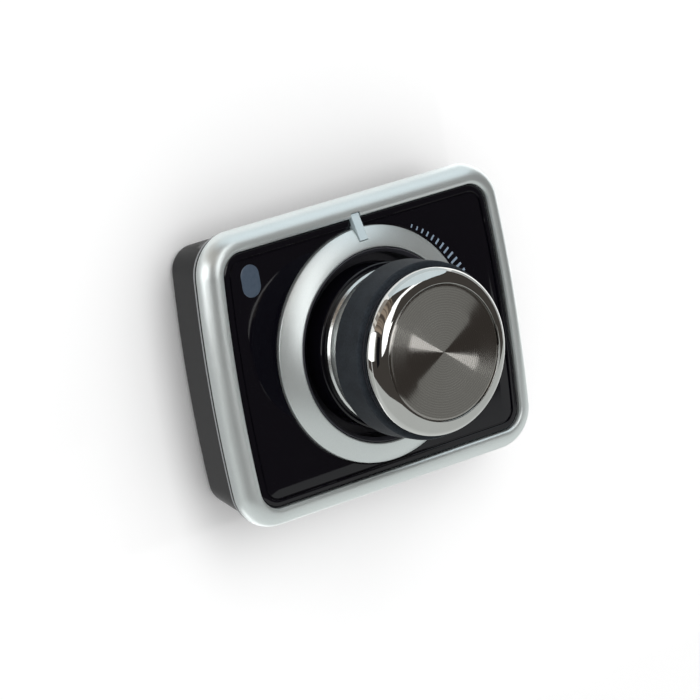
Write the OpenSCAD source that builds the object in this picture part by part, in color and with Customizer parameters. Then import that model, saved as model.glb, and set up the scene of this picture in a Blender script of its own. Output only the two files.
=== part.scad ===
// Volume commander: a push-and-turn encoder knob in a small desk or dashboard box.
// It lies on its back: the knob's axis is +Z, +X is the plate's right and +Y its top.
// All lengths are in millimetres, and the origin is the middle of the back face.

/* [Body] */
// Width across the middle of the bowed sides
body_w = 76.2; // [72:0.2:84]
// Height between the straight top and bottom
body_h = 60.2; // [58:0.2:66]
// How far each side bows out at its middle
side_bow = 1.5; // [0.8:0.1:2.2]
// Outer radius of the four corners
corner_r = 8.6; // [8.2:0.1:10]
// Depth of the rear housing from its back to its rim
housing_d = 14.4; // [13.4:0.2:18]
// Lean of the housing walls from the plate's normal, in degrees
draft = 12.5; // [8:0.5:13]
// Wall of the rear housing
wall = 2; // [1.6:0.1:2.2]
// Radius of the round around the back face
back_round = 1.6; // [0.8:0.1:2]
// Step from the bezel's edge in to the housing's rim
rim_step = 0.6; // [0.3:0.1:0.9]
// Open line between the housing's rim and the bezel
shadow_gap = 0.3; // [0.2:0.05:0.5]

/* [Bezel and face] */
// Width of the silver frame
bezel_w = 4; // [3.6:0.1:4.6]
// Height of the frame from its rear edge to its crest
bezel_h = 4.3; // [3.6:0.1:5]
// Distance of the crest from the outer edge
crest_in = 3.2; // [2.6:0.1:3.4]
// Fall from the crest to the inner edge
bezel_fall = 0.6; // [0.2:0.1:0.9]
// Thickness of the frame's side skirt
bezel_skirt = 1.6; // [1.2:0.1:2]
// Thickness of the carrier plate behind the face
chassis_t = 1.9; // [1.5:0.1:2.4]
// Thickness of the face panel
panel_t = 2; // [1.6:0.1:2.4]
// Distance of the border groove from the panel's edge
groove_in = 1.3; // [0.8:0.1:2]
// Width of the border groove
groove_w = 0.5; // [0.3:0.1:0.8]
// Depth of the border groove
groove_d = 0.35; // [0.2:0.05:0.6]

/* [Ring and well] */
// Face left between the silver ring and the window's top and bottom
ring_gap = 2.1; // [1.4:0.1:3]
// Width of the silver ring
ring_w = 4.3; // [3.8:0.1:5]
// Height of the ring's outer edge above the face
ring_edge = 0.6; // [0.4:0.1:1]
// Rise of the ring's cone from its outer to its inner edge
ring_rise = 2.3; // [1.4:0.1:3]
// Wall of the well liner
liner_t = 0.9; // [0.7:0.1:1.1]
// Floor of the well liner
well_floor = 1.6; // [1.2:0.1:2]

/* [Pointer and lens] */
// Width of the light pipe
pipe_w = 2; // [1.6:0.1:2.6]
// Radial length of the light pipe's front face
pipe_l = 5.4; // [4.8:0.1:5.6]
// Height of the light pipe above the ring's cone
pipe_proud = 0.5; // [0.2:0.1:0.8]
// Width of the status lens
lens_w = 4.4; // [3.2:0.1:5]
// Length of the status lens
lens_l = 6.6; // [5.4:0.1:7]
// Distance of the status lens in from the body's left side
lens_x = 11.1; // [10.8:0.1:12]
// Distance of the status lens down from the body's top
lens_y = 10.3; // [10.2:0.1:11]

/* [Knob] */
// How far the rubber grip stands out past the collar
grip_over = 1.85; // [1.2:0.05:2.2]
// Length of the rubber grip
grip_h = 7.4; // [6:0.2:10]
// Thickness of the rubber grip
grip_t = 2.25; // [1.8:0.05:2.4]
// Step from the rubber grip in to the chrome cap ring at its widest
cap_step = 1; // [0.6:0.1:1.4]
// Height of the chrome cap ring
cap_h = 4.6; // [4.2:0.1:5.6]
// Width of the cap ring's half-round rim round the spun disc
cap_rim = 3.35; // [3.2:0.05:4]
// Depth of the disc below the cap ring's crest
disc_sink = 0.1; // [0:0.05:0.6]
// Width of the bevel round the disc
disc_bevel = 0.35; // [0.2:0.05:0.6]
// Step from the black skirt in to the chrome collar
collar_step = 0.95; // [0.4:0.05:1.2]
// Length of the chrome collar
collar_h = 5.5; // [4:0.1:7]
// Gap between the black skirt and the well's wall
well_gap = 1.75; // [1.3:0.05:2.2]
// Length of the black skirt
skirt_h = 5.4; // [4:0.1:6]
// Height of the collar's foot above the ring's inner edge
knob_lift = 2.1; // [1.4:0.1:4]
// Height of the black line between grip and cap
line_h = 0.3; // [0.2:0.05:0.5]

/* [Encoder] */
// Diameter of the shaft
shaft_d = 6; // [5.6:0.1:6.2]
// Depth of the shaft's flat
flat_d = 1.5; // [1:0.1:1.8]
// Outer diameter of the threaded bush
bush_d = 7; // [6.9:0.1:7.6]
// Length of the bush above the encoder's frame
bush_l = 5; // [4.4:0.1:5.6]
// Width of the encoder's case
case_w = 12.4; // [12:0.1:14]
// Depth of the encoder's case
case_l = 13.4; // [12:0.1:14]
// Height of the encoder from the board to its frame's top
encoder_h = 5; // [5:0.1:5.4]
// Diameter of the rotor
rotor_d = 9.2; // [8.6:0.1:9.6]
// Inward travel of the knob
push_travel = 0.5; // [0.3:0.05:0.6]
// Number of detent notches around the rotor
detents = 20; // [12:1:24]

/* [Board and socket] */
// Room between the circuit board and the housing's side walls
board_side_gap = 4.2; // [4:0.1:5]
// Room between the circuit board and the housing's top and bottom walls
board_end_gap = 0.9; // [0.8:0.1:1.6]
// Thickness of the circuit board
board_t = 1.6; // [1:0.2:1.6]
// Bore of the jack socket
jack_bore = 3.6; // [3.5:0.05:3.9]
// Depth of the jack socket's bore
jack_depth = 13; // [11:0.2:14]
// Outer diameter of the jack socket's nose
jack_nose = 6; // [5.6:0.1:6]
// Distance of the housing screws in from the body's sides
screw_x = 8.1; // [8.1:0.1:8.7]
// Distance of the housing screws in from the body's top and bottom
screw_y = 16.6; // [16:0.1:19]

/* [Hidden] */
$fn = 72;

// Clearances: a push fit, a free fit and a running fit
push_fit = 0.05;
free_fit = 0.15;
run_fit = 0.05;
// Overshoot of a cut past the face that it opens
past = 1;

// Levels from the back to the front
liner_flange_t = 1.4;
z_rim = housing_d;
z_floor_low = z_rim - liner_flange_t;
z_board = z_floor_low - encoder_h;
z_bezel = z_rim + shadow_gap;
z_crest = z_bezel + bezel_h;
z_seat = z_rim + chassis_t;
z_face = z_seat + panel_t;
z_ring = z_face + ring_edge;
z_ring_top = z_ring + ring_rise;
z_collar = z_ring_top + knob_lift;
z_grip = z_collar + collar_h;
z_line = z_grip + grip_h;
z_cap = z_line + line_h;
z_top = z_cap + cap_h;
z_disc = z_top - disc_sink;

// Outline: a bow on each side, straight top and bottom, round corners
side_n = 8;
corner_n = 8;
half_w = body_w / 2;
half_h = body_h / 2;
bow_r = (half_h * half_h + side_bow * side_bow) / (2 * side_bow);
bow_x = bow_r - half_w;
corner_y = half_h - corner_r;
corner_x = sqrt(pow(bow_r - corner_r, 2) - corner_y * corner_y) - bow_x;
bow_a = atan2(corner_y, corner_x + bow_x);

// Points along an arc, without its last point
function arc(c, r, a, b, n) =
  [for (i = [0:n - 1]) c + r * [cos(a + (b - a) * i / n), sin(a + (b - a) * i / n)]];
// Points along an arc, with its last point
function full_arc(c, r, a, b, n) =
  [for (i = [0:n]) c + r * [cos(a + (b - a) * i / n), sin(a + (b - a) * i / n)]];

// The body's outline, drawn in by a distance
function outline(inset) = concat(
  arc([-bow_x, 0], bow_r - inset, -bow_a, bow_a, side_n),
  full_arc([corner_x, corner_y], corner_r - inset, bow_a, 90, corner_n),
  arc([-corner_x, corner_y], corner_r - inset, 90, 180 - bow_a, corner_n),
  arc([bow_x, 0], bow_r - inset, 180 - bow_a, 180 + bow_a, side_n),
  full_arc([-corner_x, -corner_y], corner_r - inset, 180 + bow_a, 270, corner_n),
  arc([corner_x, -corner_y], corner_r - inset, 270, 360 - bow_a, corner_n));
outline_n = len(outline(0));

// Solid skinned over outlines, given as pairs of height and inset from bottom to top
module loft(levels) {
  n = outline_n;
  m = len(levels);
  polyhedron(
    points = [for (l = levels) for (p = outline(l[1])) [p[0], p[1], l[0]]],
    faces = concat(
      [[for (i = [0:n - 1]) i]],
      [for (k = [0:m - 2]) for (i = [0:n - 1]) [k * n + i, (k + 1) * n + i, k * n + (i + 1) % n]],
      [for (k = [0:m - 2]) for (i = [0:n - 1])
        [(k + 1) * n + i, (k + 1) * n + (i + 1) % n, k * n + (i + 1) % n]],
      [[for (i = [0:n - 1]) m * n - 1 - i]]));
}

// Closed frame: a profile of inset and height pairs swept round the outline
module sweep(profile) {
  n = outline_n;
  m = len(profile);
  polyhedron(
    points = [for (q = profile) for (p = outline(q[0])) [p[0], p[1], q[1]]],
    faces = concat(
      [for (k = [0:m - 1]) for (i = [0:n - 1]) [k * n + i, ((k + 1) % m) * n + i, k * n + (i + 1) % n]],
      [for (k = [0:m - 1]) for (i = [0:n - 1])
        [((k + 1) % m) * n + i, ((k + 1) % m) * n + (i + 1) % n, k * n + (i + 1) % n]]));
}

// Plate with the body's outline
module plate(inset, z, t) {
  translate([0, 0, z]) linear_extrude(t) polygon(outline(inset));
}

// Tube between two heights
module tube(r_out, r_in, z, top) {
  difference() {
    translate([0, 0, z]) cylinder(r = r_out, h = top - z);
    translate([0, 0, z - past]) cylinder(r = r_in, h = top - z + 2 * past);
  }
}

// Upright rod between two heights at a place on the plate
module rod(p, r, z, top) {
  translate([p[0], p[1], z]) cylinder(r = r, h = top - z);
}

// Block centred on x and y, standing on a height
module block(p, size, z, top) {
  translate([p[0] - size[0] / 2, p[1] - size[1] / 2, z]) cube([size[0], size[1], top - z]);
}

// Pill with round ends along Y
module pill(p, w, l, z, top) {
  block(p, [w, l - w], z, top);
  rod([p[0], p[1] + (l - w) / 2], w / 2, z, top);
  rod([p[0], p[1] - (l - w) / 2], w / 2, z, top);
}

// Four places, mirrored about both axes
function four(x, y) = [[x, y], [-x, y], [x, -y], [-x, -y]];

// Housing screws: places, shank, head and bosses
screw_places = four(half_w - screw_x, half_h - screw_y);
screw_r = 1.2;
screw_head_r = 2.3;
screw_head_h = 1.4;
screw_sink = 0.3;
boss_r = 3.1;
boss_over = 0.8;
boss_gap = 0.4;
screw_short = 1;
tip_room = 0.4;
z_boss = z_board + boss_over;
z_screw_head = screw_sink + screw_head_h;
z_screw_tip = z_rim - screw_short;

// Housing walls: the inset of the outside at a height, and the floor of the hollow
function wall_inset(z) = rim_step + (z_rim - z) * tan(draft);
hollow_z = wall;

// Board: its underside, its size in the hollow there, its screws and their posts
z_board_low = z_board - board_t;
board_inset = wall_inset(z_board_low) + wall;
board_w = 2 * (half_w - board_inset - board_side_gap);
board_h = 2 * (half_h - board_inset - board_end_gap);
post_in_x = 9.5;
post_in_y = 5.3;
board_places = four(board_w / 2 - post_in_x, board_h / 2 - post_in_y);
board_screw_r = 0.95;
post_r = 2.7;
board_head_r = 1.9;
board_head_h = 1.3;
board_corner = 2;

// Jack socket: its axis, box and nose, which stops just inside the slanted wall
jack_w = 6.6;
jack_l = 11.6;
jack_clear = 0.2;
jack_lift = 0.3;
jack_h = encoder_h - jack_clear;
jack_z = z_board + jack_h / 2 + jack_lift;
jack_overhang = 0.6;
jack_front = -board_h / 2 - jack_overhang;
wall_y = half_h - wall_inset(jack_z);
nose_sink = 0.4;
nose_y = wall_y - nose_sink;

module rear_housing() {
  // Outside with the round round the back face
  round_n = 5;
  round_levels = [for (i = [0:round_n - 1])
    let (a = 90 * i / round_n)
    [back_round * (1 - cos(a)), wall_inset(back_round * (1 - cos(a))) + back_round * (1 - sin(a))]];
  levels = concat(round_levels, [[back_round, wall_inset(back_round)], [z_rim, wall_inset(z_rim)]]);
  color([0.13, 0.135, 0.14]) difference() {
    union() {
      difference() {
        loft(levels);
        loft([[hollow_z, wall_inset(hollow_z) + wall], [z_rim + past, wall_inset(z_rim + past) + wall]]);
      }
      // Posts under the board and bosses round the housing screws
      for (p = board_places) rod(p, post_r, hollow_z / 2, z_board_low);
      for (p = screw_places) rod(p, boss_r, hollow_z / 2, z_boss);
    }
    for (p = board_places) rod(p, board_screw_r + push_fit, hollow_z, z_board_low + past);
    for (p = screw_places) rod(p, screw_r + free_fit, -past, z_boss + past);
    for (p = screw_places) rod(p, screw_head_r + free_fit, -past, z_screw_head);
    translate([0, -wall_y - past, jack_z]) rotate([-90, 0, 0])
      cylinder(r = jack_nose / 2 + free_fit, h = wall + 4 * past);
  }
}

module housing_screws() {
  slot_w = 0.6;
  slot_l = 2.6;
  slot_d = 0.7;
  color("silver") for (p = screw_places) difference() {
    union() {
      rod(p, screw_head_r, screw_sink, z_screw_head);
      rod(p, screw_r, z_screw_head - push_fit, z_screw_tip);
    }
    block(p, [slot_w, slot_l], screw_sink - past, screw_sink + slot_d);
    block(p, [slot_l, slot_w], screw_sink - past, screw_sink + slot_d);
  }
}

// Ring and well radii that several pieces share
neck_t = 1.2;
liner_flange_w = 1.5;
ring_r = half_h - bezel_w - ring_gap;
ring_bore_r = ring_r - ring_w;
liner_r = ring_bore_r - free_fit;
well_r = liner_r - liner_t;
neck_r = ring_bore_r + neck_t;
liner_flange_r = liner_r + liner_flange_w;
z_floor = z_floor_low + well_floor;

// Light pipe: the inner end and outer end of its face, and its stem to the lamp
pipe_gap = 0.7;
pipe_stem = 1.9;
pipe_drop = 0.3;
pipe_depth = 1;
lamp_h = 0.9;
lamp_gap = 0.3;
pipe_in = neck_r + pipe_gap;
pipe_out = pipe_in + pipe_l;
cone_slope = ring_rise / ring_w;
z_pipe_in = z_ring + (ring_r - pipe_in) * cone_slope + pipe_proud;
z_pipe_out = z_crest - pipe_drop;
z_pipe_low = z_face - pipe_depth;
z_stem = z_board + lamp_h + lamp_gap;
lens_place = [lens_x - half_w, half_h - lens_y];

// The slot that the light pipe needs, between two heights and two radii
module pipe_slot(y_in, y_out, z, top) {
  block([0, (y_in + y_out) / 2], [pipe_w + 2 * free_fit, y_out - y_in], z, top);
}

module front_chassis() {
  color([0.1, 0.1, 0.11]) difference() {
    union() {
      plate(bezel_skirt + free_fit, z_rim, chassis_t);
      for (p = screw_places) rod(p, boss_r, z_boss, z_rim + chassis_t / 2);
    }
    rod([0, 0], liner_r + free_fit, z_rim - past, z_seat + past);
    for (p = screw_places) rod(p, screw_r + push_fit, z_boss - past, z_screw_tip + tip_room);
    pipe_slot(pipe_in - free_fit, pipe_in + pipe_stem + free_fit, z_rim - past, z_seat + past);
    pill(lens_place, lens_w + 2 * free_fit, lens_l + 2 * free_fit, z_rim - past, z_seat + past);
  }
}

module front_bezel() {
  // Quarter ellipse from the skirt up to the crest, then a short round down to the window
  edge_h = 0.3;
  bead_n = 9;
  rise = bezel_h - edge_h;
  bead = [for (i = [0:bead_n])
    let (a = 90 * i / bead_n)
    [crest_in * (1 - cos(a)), z_bezel + edge_h + rise * sin(a)]];
  lip = bezel_w - crest_in;
  lip_n = 4;
  inner = [for (i = [1:lip_n])
    let (a = 90 * i / lip_n)
    [crest_in + lip * sin(a), z_crest - bezel_fall * (1 - cos(a))]];
  foot = [[bezel_w, z_seat], [bezel_skirt, z_seat], [bezel_skirt, z_bezel], [0, z_bezel]];
  color([0.76, 0.78, 0.78]) difference() {
    sweep(concat(bead, inner, foot));
    pipe_slot(half_h - bezel_w - past, pipe_out + free_fit, z_pipe_low - free_fit, z_crest + past);
  }
}

// The recess in the face that the ring stands in
recess_gap = 0.35;
recess_d = 0.4;
recess_r = ring_r + recess_gap;

module face_panel() {
  edge_in = bezel_w + free_fit;
  color([0.03, 0.03, 0.04]) difference() {
    plate(edge_in, z_seat, panel_t);
    difference() {
      plate(edge_in + groove_in, z_face - groove_d, groove_d + past);
      plate(edge_in + groove_in + groove_w, z_face - groove_d - past, groove_d + 3 * past);
    }
    rod([0, 0], recess_r, z_face - recess_d, z_face + past);
    rod([0, 0], neck_r + free_fit, z_seat - past, z_face);
    pipe_slot(pipe_in - free_fit, half_h - bezel_w + past, z_seat - past, z_face + past);
    pill(lens_place, lens_w + 2 * push_fit, lens_l + 2 * push_fit, z_seat - past, z_face + past);
  }
}

module trim_ring() {
  // Crowned cone with small edges, and a neck that reaches down through the face
  bevel = 0.2;
  crown = 0.34;
  crown_n = 6;
  z_foot = z_face - recess_d;
  z_neck = z_seat + push_fit;
  cone = [for (i = [1:crown_n - 1])
    let (share = i / crown_n)
    [ring_r - ring_w * share, z_ring + ring_rise * share * (1 + crown * (1 - share))]];
  profile = concat(
    [[ring_bore_r, z_neck], [neck_r, z_neck], [neck_r, z_foot], [ring_r, z_foot], [ring_r, z_ring - bevel],
     [ring_r - bevel, z_ring + bevel * cone_slope]],
    cone,
    [[ring_bore_r + bevel, z_ring_top - bevel * cone_slope], [ring_bore_r, z_ring_top - bevel]]);
  color([0.76, 0.78, 0.78]) difference() {
    rotate_extrude() polygon(profile);
    pipe_slot(pipe_in - free_fit, ring_r + past, z_foot - past, z_ring_top + past);
  }
}

module well_liner() {
  // Cup with a sloped lip, a floor for the bush and a flange behind the carrier plate
  lip = 0.9;
  lip_drop = 0.3;
  lip_edge = 0.1;
  z_lip = z_ring_top - lip_drop;
  profile = [
    [bush_d / 2 + free_fit, z_floor_low], [liner_flange_r, z_floor_low], [liner_flange_r, z_rim],
    [liner_r, z_rim], [liner_r, z_lip], [liner_r - lip_edge, z_lip], [well_r, z_lip - lip],
    [well_r, z_floor], [bush_d / 2 + free_fit, z_floor]];
  color([0.04, 0.04, 0.045]) rotate_extrude() polygon(profile);
}

module light_pipe() {
  profile = [
    [pipe_out, z_pipe_low], [pipe_out, z_pipe_out], [pipe_in, z_pipe_in], [pipe_in, z_stem],
    [pipe_in + pipe_stem, z_stem], [pipe_in + pipe_stem, z_pipe_low]];
  color([0.62, 0.7, 0.74]) translate([-pipe_w / 2, 0, 0])
    rotate([90, 0, 90]) linear_extrude(pipe_w) polygon(profile);
}

module status_lens() {
  stem_r = 1;
  proud = 0.1;
  color([0.5, 0.58, 0.66]) {
    pill(lens_place, lens_w, lens_l, z_rim, z_face + proud);
    rod(lens_place, stem_r, z_stem, z_rim + chassis_t / 2);
  }
}

// Knob radii that several pieces share
skirt_r = well_r - well_gap;
collar_r = skirt_r - collar_step;
grip_r = collar_r + grip_over;
seat_r = grip_r - grip_t;
cap_r = grip_r - cap_step;
disc_r = cap_r - cap_rim;
cap_wall = 2.3;
collar_wall = 1.45;
tube_wall = 2;
hub_wall = 1.8;
spigot_r = cap_r - cap_wall;
tube_r = collar_r - collar_wall;
bore_r = tube_r - tube_wall;
hub_r = shaft_d / 2 + hub_wall;
disc_flange_t = 0.7;
disc_t = 1.45;
web_sink = 4;
web_t = 2;
hub_drop = 0.2;
shaft_cover = 1;
shaft_room = 0.2;
clip_t = 0.35;
z_spigot = z_disc - disc_t;
z_flange = z_spigot + disc_flange_t;
// Half-round section of the cap ring: its radius, its centre and its foot on the core
cap_lip_edge = 0.1;
section_r = cap_rim - free_fit - cap_lip_edge;
section_at = [cap_r - section_r, z_top - section_r];
cap_foot_r = section_at[0] + sqrt(pow(section_r, 2) - pow(z_cap - section_at[1], 2));
z_web = z_line - web_sink;
z_hub = z_ring_top - hub_drop;
z_skirt = z_collar - skirt_h;
z_shaft_top = z_web + web_t - shaft_cover;

module knob_core() {
  rib_n = 6;
  rib_t = 1.2;
  rib_sink = 0.5;
  rib_up = 3;
  foot_up = 0.5;
  z_rib = z_hub + rib_up;
  z_foot = z_skirt + foot_up;
  // Outer shell: tube for skirt and collar, seat for the grip, line and spigot for the cap
  shell = [
    [bore_r, z_foot], [tube_r, z_foot], [tube_r, z_grip], [seat_r, z_grip], [seat_r, z_line],
    [cap_foot_r, z_line], [cap_foot_r, z_cap], [spigot_r, z_cap], [spigot_r, z_spigot], [bore_r, z_spigot]];
  color([0.05, 0.05, 0.055]) difference() {
    union() {
      rotate_extrude() polygon(shell);
      rod([0, 0], bore_r + rib_sink, z_web, z_web + web_t);
      rod([0, 0], hub_r, z_hub, z_web + web_t / 2);
      for (i = [0:rib_n - 1]) rotate([0, 0, (i + 0.5) * 360 / rib_n])
        translate([hub_r - rib_sink, -rib_t / 2, z_rib])
          cube([bore_r - hub_r + 2 * rib_sink, rib_t, z_web + web_t / 2 - z_rib]);
    }
    // Bore for the shaft, with a flat that leaves room for the leaf spring
    difference() {
      rod([0, 0], shaft_d / 2 + push_fit, z_hub - past, z_shaft_top + shaft_room);
      translate([shaft_d / 2 - flat_d + clip_t + 2 * push_fit, -shaft_d, z_hub - 2 * past])
        cube([shaft_d, 2 * shaft_d, z_shaft_top - z_hub + 4 * past]);
    }
  }
}

module shaft_clip() {
  clip_w = 3;
  clip_up = 0.3;
  color("silver") translate([shaft_d / 2 - flat_d + push_fit, -clip_w / 2, z_hub + clip_up])
    cube([clip_t, clip_w, z_shaft_top - shaft_room - z_hub - clip_up]);
}

module knob_skirt() {
  edge = 0.4;
  r = skirt_r;
  profile = [
    [tube_r + push_fit, z_skirt], [r - edge, z_skirt], [r, z_skirt + edge], [r, z_collar - edge],
    [r - edge, z_collar], [tube_r + push_fit, z_collar]];
  color([0.05, 0.05, 0.055]) rotate_extrude() polygon(profile);
}

module knob_collar() {
  rim_h = 0.7;
  step = 0.3;
  slope_h = 0.5;
  taper = 0.3;
  edge = 0.15;
  r = collar_r;
  profile = [
    [tube_r + push_fit, z_collar], [r - edge, z_collar], [r, z_collar + edge], [r, z_collar + rim_h],
    [r - step, z_collar + rim_h + slope_h], [r - step - taper, z_grip], [tube_r + push_fit, z_grip]];
  color([0.8, 0.8, 0.8]) rotate_extrude() polygon(profile);
}

module grip_sleeve() {
  rear_round = 0.5;
  front_round = 0.4;
  round_n = 4;
  profile = concat(
    [[seat_r + push_fit, z_grip]],
    full_arc([grip_r - rear_round, z_grip + rear_round], rear_round, -90, 0, round_n),
    full_arc([grip_r - front_round, z_line - front_round], front_round, 0, 90, round_n),
    [[seat_r + push_fit, z_line]]);
  color([0.17, 0.19, 0.21]) rotate_extrude() polygon(profile);
}

module cap_ring() {
  lip_r = disc_r + free_fit;
  bore = spigot_r + push_fit;
  z_lip = z_flange + push_fit;
  foot_a = asin((z_cap - section_at[1]) / section_r);
  section_n = 14;
  profile = concat(
    [[bore, z_cap]],
    full_arc(section_at, section_r, foot_a, 90, section_n),
    [[lip_r, z_top - cap_lip_edge], [lip_r, z_lip], [bore, z_lip]]);
  color([0.82, 0.81, 0.8]) rotate_extrude() polygon(profile);
}

module cap_disc() {
  bevel_h = 0.2;
  flange_r = spigot_r - 2 * push_fit;
  profile = [
    [0, z_spigot], [flange_r, z_spigot], [flange_r, z_flange], [disc_r, z_flange],
    [disc_r, z_disc - bevel_h], [disc_r - disc_bevel, z_disc], [0, z_disc]];
  color([0.42, 0.4, 0.38]) rotate_extrude() polygon(profile);
}

// Encoder levels and radii
frame_t = 0.8;
z_frame = z_floor_low - frame_t;
case_floor = 0.7;
z_case_floor = z_board + case_floor;
dome_h = 0.5;
dome_gap = 0.15;
spring_t = 0.25;
spring_gap = 0.25;
spring_over = 0.9;
rotor_up = 0.15;
shoulder_gap = 0.2;
neck_step = 0.4;
neck_flat = 3.8;
z_shaft = z_case_floor + dome_h + push_travel + dome_gap;
z_spring = z_frame - spring_t;
z_rotor = z_shaft + rotor_up;
z_rotor_top = z_spring - spring_gap;
neck_shaft_r = shaft_d / 2 - neck_step;
z_shoulder = z_rotor_top + push_travel + shoulder_gap;
spring_r = rotor_d / 2 + spring_over;

// Round rod with two flats, for the part of the shaft that turns the rotor
module two_flats(r, w, z, top) {
  intersection() {
    rod([0, 0], r, z, top);
    block([0, 0], [w, 4 * r], z, top);
  }
}

module encoder_shaft() {
  flat_more = 1;
  neck_lap = 0.5;
  flat_l = z_shaft_top - z_hub + flat_more;
  color("silver") difference() {
    union() {
      two_flats(neck_shaft_r, neck_flat, z_shaft, z_shoulder + neck_lap);
      rod([0, 0], shaft_d / 2, z_shoulder, z_shaft_top);
    }
    translate([shaft_d / 2 - flat_d, -shaft_d, z_shaft_top - flat_l])
      cube([shaft_d, 2 * shaft_d, flat_l + past]);
  }
}

module encoder_rotor() {
  notch_r = 0.3;
  notch_up = 0.1;
  wheel_step = 0.5;
  wheel_r = rotor_d / 2 - wheel_step;
  z_wheel = z_rotor + (z_rotor_top - z_rotor) / 2;
  color([0.85, 0.83, 0.76]) difference() {
    union() {
      rod([0, 0], rotor_d / 2, z_rotor, z_wheel);
      rod([0, 0], wheel_r, z_rotor, z_rotor_top);
    }
    two_flats(neck_shaft_r + run_fit, neck_flat + 2 * run_fit, z_rotor - past, z_rotor_top + past);
    for (i = [0:detents - 1]) rotate([0, 0, i * 360 / detents])
      rod([wheel_r, 0], notch_r, z_wheel + notch_up, z_rotor_top + past);
  }
}

module encoder_case() {
  color([0.12, 0.2, 0.16]) difference() {
    block([0, 0], [case_w, case_l], z_board, z_frame);
    rod([0, 0], rotor_d / 2 + run_fit, z_case_floor, z_frame + past);
    rod([0, 0], spring_r + free_fit, z_spring - push_fit, z_frame + past);
  }
}

leg_t = 0.5;
leg_w = 2;
tail = 0.8;
leg_x = case_w / 2 + leg_t / 2 + push_fit;
module encoder_frame() {
  color("silver") {
    difference() {
      block([0, 0], [2 * leg_x + leg_t, case_l], z_frame, z_floor_low);
      rod([0, 0], bush_d / 2 + push_fit, z_frame - past, z_floor_low + past);
    }
    for (s = [-1, 1]) block([s * leg_x, 0], [leg_t, leg_w], z_board_low - tail, z_frame + frame_t / 2);
  }
}

module encoder_bushing() {
  color("silver") tube(bush_d / 2, shaft_d / 2 + run_fit, z_frame, z_floor_low + bush_l);
}

washer_t = 0.5;
nut_h = 2;
nut_flats = 10;
washer_over = 1;
module encoder_washer() {
  color("silver") tube(nut_flats / 2 + washer_over, bush_d / 2 + free_fit, z_floor, z_floor + washer_t);
}

module encoder_nut() {
  z = z_floor + washer_t;
  color("silver") difference() {
    translate([0, 0, z]) cylinder(d = nut_flats / cos(30), h = nut_h, $fn = 6);
    rod([0, 0], bush_d / 2 + push_fit, z - past, z + nut_h + past);
  }
}

module detent_spring() {
  bore_gap = 0.3;
  color("silver") tube(spring_r, shaft_d / 2 + bore_gap, z_spring, z_frame);
}

module push_dome() {
  dome_r = 2.4;
  dome_t = 0.15;
  dome_n = 6;
  // Shallow dome as the arc of a large circle
  r = (dome_r * dome_r + dome_h * dome_h) / (2 * dome_h);
  z_mid = z_case_floor + dome_h - r;
  a = asin(dome_r / r);
  outer = full_arc([0, z_mid], r, 90 - a, 90, dome_n);
  b = acos((z_case_floor - z_mid) / (r - dome_t));
  inner = full_arc([0, z_mid], r - dome_t, 90, 90 - b, dome_n);
  color("silver") rotate_extrude() polygon(concat(outer, inner));
}

// Encoder pins: three for the turn on the lower side, two for the push on the upper side
pin_pitch = 2.5;
pin_w = 0.8;
pin_t = 0.4;
pin_rise = 1.6;
pin_y = case_l / 2 + pin_t / 2 + push_fit;
turn_pins = [for (i = [-1:1]) [i * pin_pitch, -pin_y]];
push_pins = [for (i = [-1, 1]) [i * pin_pitch, pin_y]];
pin_places = concat(turn_pins, push_pins);
// Play of a pin or leg in its slot in the board
slot_play = 0.2;
module encoder_pins() {
  color("silver") for (p = pin_places) block(p, [pin_w, pin_t], z_board_low - tail, z_board + pin_rise);
}

module circuit_board() {
  w = board_w / 2 - board_corner;
  h = board_h / 2 - board_corner;
  color([0.08, 0.3, 0.18]) difference() {
    union() {
      block([0, 0], [board_w, 2 * h], z_board_low, z_board);
      block([0, 0], [2 * w, board_h], z_board_low, z_board);
      for (x = [-w, w], y = [-h, h]) rod([x, y], board_corner, z_board_low, z_board);
    }
    for (p = board_places) rod(p, board_screw_r + free_fit, z_board_low - past, z_board + past);
    for (p = screw_places) rod(p, boss_r + boss_gap, z_board_low - past, z_board + past);
    for (p = pin_places)
      block(p, [pin_w + slot_play, pin_t + slot_play], z_board_low - past, z_board + past);
    for (s = [-1, 1])
      block([s * leg_x, 0], [leg_t + slot_play, leg_w + slot_play], z_board_low - past, z_board + past);
  }
}

module board_screws() {
  slot_w = 0.5;
  slot_l = 2.2;
  slot_d = 0.6;
  tip_up = 0.6;
  color("silver") for (p = board_places) difference() {
    union() {
      rod(p, board_head_r, z_board, z_board + board_head_h);
      rod(p, board_screw_r, hollow_z + tip_up, z_board + push_fit);
    }
    block(p, [slot_w, slot_l], z_board + board_head_h - slot_d, z_board + board_head_h + past);
    block(p, [slot_l, slot_w], z_board + board_head_h - slot_d, z_board + board_head_h + past);
  }
}

// Small lamp: a base with a raised window
module lamp(p) {
  base_l = 3.2;
  base_w = 1.6;
  base_h = 0.5;
  window_l = 1.8;
  window_w = 1.4;
  block(p, [base_l, base_w], z_board, z_board + base_h);
  block(p, [window_l, window_w], z_board + base_h / 2, z_board + lamp_h);
}

module indicator_led() {
  color("white") lamp([0, pipe_in + pipe_stem / 2]);
}

module status_led() {
  color("white") lamp(lens_place);
}

module controller_chip() {
  in_x = 17.5;
  in_y = 11.8;
  body = 7;
  body_low = 0.15;
  body_top = 1.4;
  lead_n = 8;
  lead_pitch = 0.8;
  lead_w = 0.35;
  lead_l = 1.2;
  lead_h = 0.5;
  lead_in = 0.3;
  color([0.1, 0.1, 0.1]) translate([board_w / 2 - in_x, in_y - board_h / 2, 0]) {
    block([0, 0], [body, body], z_board + body_low, z_board + body_top);
    for (side = [0:3], i = [0:lead_n - 1]) rotate([0, 0, 90 * side])
      block([(body + lead_l) / 2 - lead_in, (i - (lead_n - 1) / 2) * lead_pitch], [lead_l, lead_w],
        z_board, z_board + lead_h);
  }
}

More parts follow.
